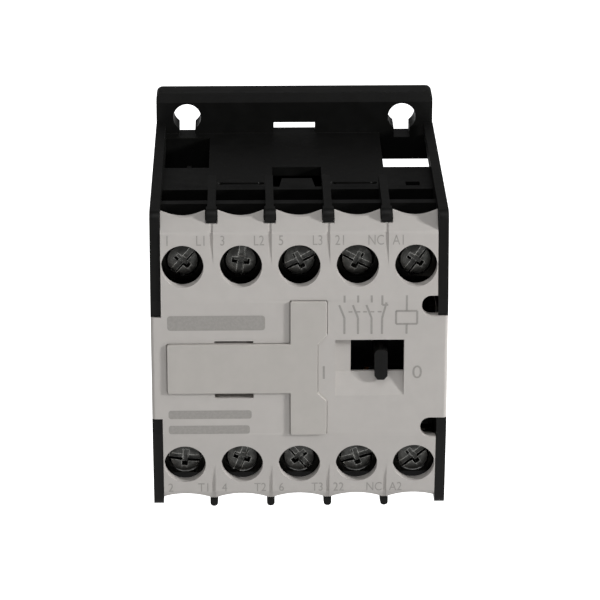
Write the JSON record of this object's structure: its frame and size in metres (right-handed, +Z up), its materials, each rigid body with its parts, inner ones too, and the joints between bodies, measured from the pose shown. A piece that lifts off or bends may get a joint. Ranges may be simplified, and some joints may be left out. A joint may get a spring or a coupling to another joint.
{
  "type": "industrial control relay",
  "caption": "Compact contactor-style control relay with bridge contacts, a coil magnet, screw terminals and a sliding indicator; mounts on a panel or a rail.",
  "frame": {"origin": "centre of the rear mounting plane, in the middle of the four screw holes", "axes": "+X to the right seen from the front, +Y from the front to the rear, +Z up"},
  "size_m": [0.045, 0.052, 0.058],
  "materials": {
    "black_moulding": "matte moulded polyamide",
    "grey_moulding": "fine matte moulded plastic",
    "marker_plastic": "smooth matte moulded plastic",
    "zinc_plated_steel": "zinc plated, lightly scuffed",
    "terminal_metal": "tin plated brass",
    "contact_bronze": "rolled bronze",
    "contact_silver": "silver alloy",
    "magnet_steel": "stacked laminations, ground pole faces",
    "copper": "copper",
    "bobbin_plastic": "glass filled plastic",
    "coil_tape": "polyester tape",
    "spring_steel": "drawn spring wire",
    "rubber": "soft rubber",
    "clip_plastic": "matte moulded polyamide"
  },
  "bodies": {
    "housing": {"base_housing": "black_moulding", "coil_bobbin": "bobbin_plastic", "coil_tape": "coil_tape", "coil_terminal_a1": "terminal_metal", "coil_terminal_a2": "terminal_metal", "coil_winding": "copper", "contact_housing": "black_moulding", "core_cushion": "rubber", "fixed_contact_1": "terminal_metal", "fixed_contact_2": "terminal_metal", "fixed_contact_21": "terminal_metal", "fixed_contact_22": "terminal_metal", "fixed_contact_3": "terminal_metal", "fixed_contact_4": "terminal_metal", "fixed_contact_5": "terminal_metal", "fixed_contact_6": "terminal_metal", "fixed_contact_tips": "contact_silver", "fixed_core": "magnet_steel", "front_cover": "grey_moulding", "marker_plate": "marker_plastic", "rail_clip_spring": "spring_steel", "return_spring_lower": "spring_steel", "return_spring_upper": "spring_steel", "shading_rings": "copper"},
    "carrier": {"contact_carrier": "black_moulding", "armature": "magnet_steel", "armature_pin": "zinc_plated_steel", "contact_spring_1_2": "spring_steel", "contact_spring_3_4": "spring_steel", "contact_spring_5_6": "spring_steel", "contact_spring_21_22": "spring_steel"},
    "rail_clip": {"rail_clip": "clip_plastic"},
    "bridge_1_2": {"contact_bridge_1_2": "contact_bronze", "bridge_tips_1_2": "contact_silver"},
    "bridge_3_4": {"contact_bridge_3_4": "contact_bronze", "bridge_tips_3_4": "contact_silver"},
    "bridge_5_6": {"contact_bridge_5_6": "contact_bronze", "bridge_tips_5_6": "contact_silver"},
    "bridge_21_22": {"contact_bridge_21_22": "contact_bronze", "bridge_tips_21_22": "contact_silver"},
    "clamp_1": {"terminal_clamp_1": "zinc_plated_steel"},
    "screw_1": {"terminal_screw_1": "zinc_plated_steel"},
    "clamp_3": {"terminal_clamp_3": "zinc_plated_steel"},
    "screw_3": {"terminal_screw_3": "zinc_plated_steel"},
    "clamp_5": {"terminal_clamp_5": "zinc_plated_steel"},
    "screw_5": {"terminal_screw_5": "zinc_plated_steel"},
    "clamp_21": {"terminal_clamp_21": "zinc_plated_steel"},
    "screw_21": {"terminal_screw_21": "zinc_plated_steel"},
    "clamp_a1": {"terminal_clamp_a1": "zinc_plated_steel"},
    "screw_a1": {"terminal_screw_a1": "zinc_plated_steel"},
    "clamp_2": {"terminal_clamp_2": "zinc_plated_steel"},
    "screw_2": {"terminal_screw_2": "zinc_plated_steel"},
    "clamp_4": {"terminal_clamp_4": "zinc_plated_steel"},
    "screw_4": {"terminal_screw_4": "zinc_plated_steel"},
    "clamp_6": {"terminal_clamp_6": "zinc_plated_steel"},
    "screw_6": {"terminal_screw_6": "zinc_plated_steel"},
    "clamp_22": {"terminal_clamp_22": "zinc_plated_steel"},
    "screw_22": {"terminal_screw_22": "zinc_plated_steel"},
    "clamp_a2": {"terminal_clamp_a2": "zinc_plated_steel"},
    "screw_a2": {"terminal_screw_a2": "zinc_plated_steel"}
  },
  "joints": [
    {"name": "carrier_slide", "type": "slide", "parent": "housing", "child": "carrier", "axis": [-1, 0, 0], "range_m": [0, 0.0028], "stiffness_N_per_m": 250, "springref_m": -0.004, "deforming": ["return_spring_upper", "return_spring_lower"]},
    {"name": "bridge_1_2_overtravel", "type": "slide", "parent": "carrier", "child": "bridge_1_2", "axis": [1, 0, 0], "range_m": [0, 0.0009], "deforming": ["contact_spring_1_2"]},
    {"name": "bridge_3_4_overtravel", "type": "slide", "parent": "carrier", "child": "bridge_3_4", "axis": [1, 0, 0], "range_m": [0, 0.0009], "deforming": ["contact_spring_3_4"]},
    {"name": "bridge_5_6_overtravel", "type": "slide", "parent": "carrier", "child": "bridge_5_6", "axis": [1, 0, 0], "range_m": [0, 0.0009], "deforming": ["contact_spring_5_6"]},
    {"name": "bridge_21_22_overtravel", "type": "slide", "parent": "carrier", "child": "bridge_21_22", "axis": [1, 0, 0], "range_m": [0, 0.0009], "deforming": ["contact_spring_21_22"]},
    {"name": "clamp_1_lift", "type": "slide", "parent": "housing", "child": "clamp_1", "axis": [0, -1, 0], "range_m": [0, 0.0021]},
    {"name": "screw_1_turn", "type": "hinge", "parent": "clamp_1", "child": "screw_1", "pos_m": [-0.0176, -0.045, 0.0162], "axis": [0, -1, 0], "range_deg": [0, 1260]},
    {"name": "clamp_3_lift", "type": "slide", "parent": "housing", "child": "clamp_3", "axis": [0, -1, 0], "range_m": [0, 0.0021]},
    {"name": "screw_3_turn", "type": "hinge", "parent": "clamp_3", "child": "screw_3", "pos_m": [-0.0088, -0.045, 0.0162], "axis": [0, -1, 0], "range_deg": [0, 1260]},
    {"name": "clamp_5_lift", "type": "slide", "parent": "housing", "child": "clamp_5", "axis": [0, -1, 0], "range_m": [0, 0.0021]},
    {"name": "screw_5_turn", "type": "hinge", "parent": "clamp_5", "child": "screw_5", "pos_m": [0, -0.045, 0.0162], "axis": [0, -1, 0], "range_deg": [0, 1260]},
    {"name": "clamp_21_lift", "type": "slide", "parent": "housing", "child": "clamp_21", "axis": [0, -1, 0], "range_m": [0, 0.0021]},
    {"name": "screw_21_turn", "type": "hinge", "parent": "clamp_21", "child": "screw_21", "pos_m": [0.0088, -0.045, 0.0162], "axis": [0, -1, 0], "range_deg": [0, 1260]},
    {"name": "clamp_a1_lift", "type": "slide", "parent": "housing", "child": "clamp_a1", "axis": [0, -1, 0], "range_m": [0, 0.0021]},
    {"name": "screw_a1_turn", "type": "hinge", "parent": "clamp_a1", "child": "screw_a1", "pos_m": [0.0176, -0.045, 0.0162], "axis": [0, -1, 0], "range_deg": [0, 1260]},
    {"name": "clamp_2_lift", "type": "slide", "parent": "housing", "child": "clamp_2", "axis": [0, -1, 0], "range_m": [0, 0.0021]},
    {"name": "screw_2_turn", "type": "hinge", "parent": "clamp_2", "child": "screw_2", "pos_m": [-0.0176, -0.045, -0.0162], "axis": [0, -1, 0], "range_deg": [0, 1260]},
    {"name": "clamp_4_lift", "type": "slide", "parent": "housing", "child": "clamp_4", "axis": [0, -1, 0], "range_m": [0, 0.0021]},
    {"name": "screw_4_turn", "type": "hinge", "parent": "clamp_4", "child": "screw_4", "pos_m": [-0.0088, -0.045, -0.0162], "axis": [0, -1, 0], "range_deg": [0, 1260]},
    {"name": "clamp_6_lift", "type": "slide", "parent": "housing", "child": "clamp_6", "axis": [0, -1, 0], "range_m": [0, 0.0021]},
    {"name": "screw_6_turn", "type": "hinge", "parent": "clamp_6", "child": "screw_6", "pos_m": [0, -0.045, -0.0162], "axis": [0, -1, 0], "range_deg": [0, 1260]},
    {"name": "clamp_22_lift", "type": "slide", "parent": "housing", "child": "clamp_22", "axis": [0, -1, 0], "range_m": [0, 0.0021]},
    {"name": "screw_22_turn", "type": "hinge", "parent": "clamp_22", "child": "screw_22", "pos_m": [0.0088, -0.045, -0.0162], "axis": [0, -1, 0], "range_deg": [0, 1260]},
    {"name": "clamp_a2_lift", "type": "slide", "parent": "housing", "child": "clamp_a2", "axis": [0, -1, 0], "range_m": [0, 0.0021]},
    {"name": "screw_a2_turn", "type": "hinge", "parent": "clamp_a2", "child": "screw_a2", "pos_m": [0.0176, -0.045, -0.0162], "axis": [0, -1, 0], "range_deg": [0, 1260]},
    {"name": "rail_clip_slide", "type": "slide", "parent": "housing", "child": "rail_clip", "axis": [0, 0, -1], "range_m": [0, 0.0025], "stiffness_N_per_m": 800, "springref_m": -0.001, "deforming": ["rail_clip_spring"]}
  ],
  "couplings": [
    {"joint": "bridge_1_2_overtravel", "follows": "carrier_slide", "ratio": 0.3214},
    {"joint": "bridge_3_4_overtravel", "follows": "carrier_slide", "ratio": 0.3214},
    {"joint": "bridge_5_6_overtravel", "follows": "carrier_slide", "ratio": 0.3214},
    {"joint": "bridge_21_22_overtravel", "follows": "carrier_slide", "ratio": 0.3214},
    {"joint": "screw_1_turn", "follows": "clamp_1_lift", "rad_per_m": 10472},
    {"joint": "screw_3_turn", "follows": "clamp_3_lift", "rad_per_m": 10472},
    {"joint": "screw_5_turn", "follows": "clamp_5_lift", "rad_per_m": 10472},
    {"joint": "screw_21_turn", "follows": "clamp_21_lift", "rad_per_m": 10472},
    {"joint": "screw_a1_turn", "follows": "clamp_a1_lift", "rad_per_m": 10472},
    {"joint": "screw_2_turn", "follows": "clamp_2_lift", "rad_per_m": 10472},
    {"joint": "screw_4_turn", "follows": "clamp_4_lift", "rad_per_m": 10472},
    {"joint": "screw_6_turn", "follows": "clamp_6_lift", "rad_per_m": 10472},
    {"joint": "screw_22_turn", "follows": "clamp_22_lift", "rad_per_m": 10472},
    {"joint": "screw_a2_turn", "follows": "clamp_a2_lift", "rad_per_m": 10472}
  ]
}
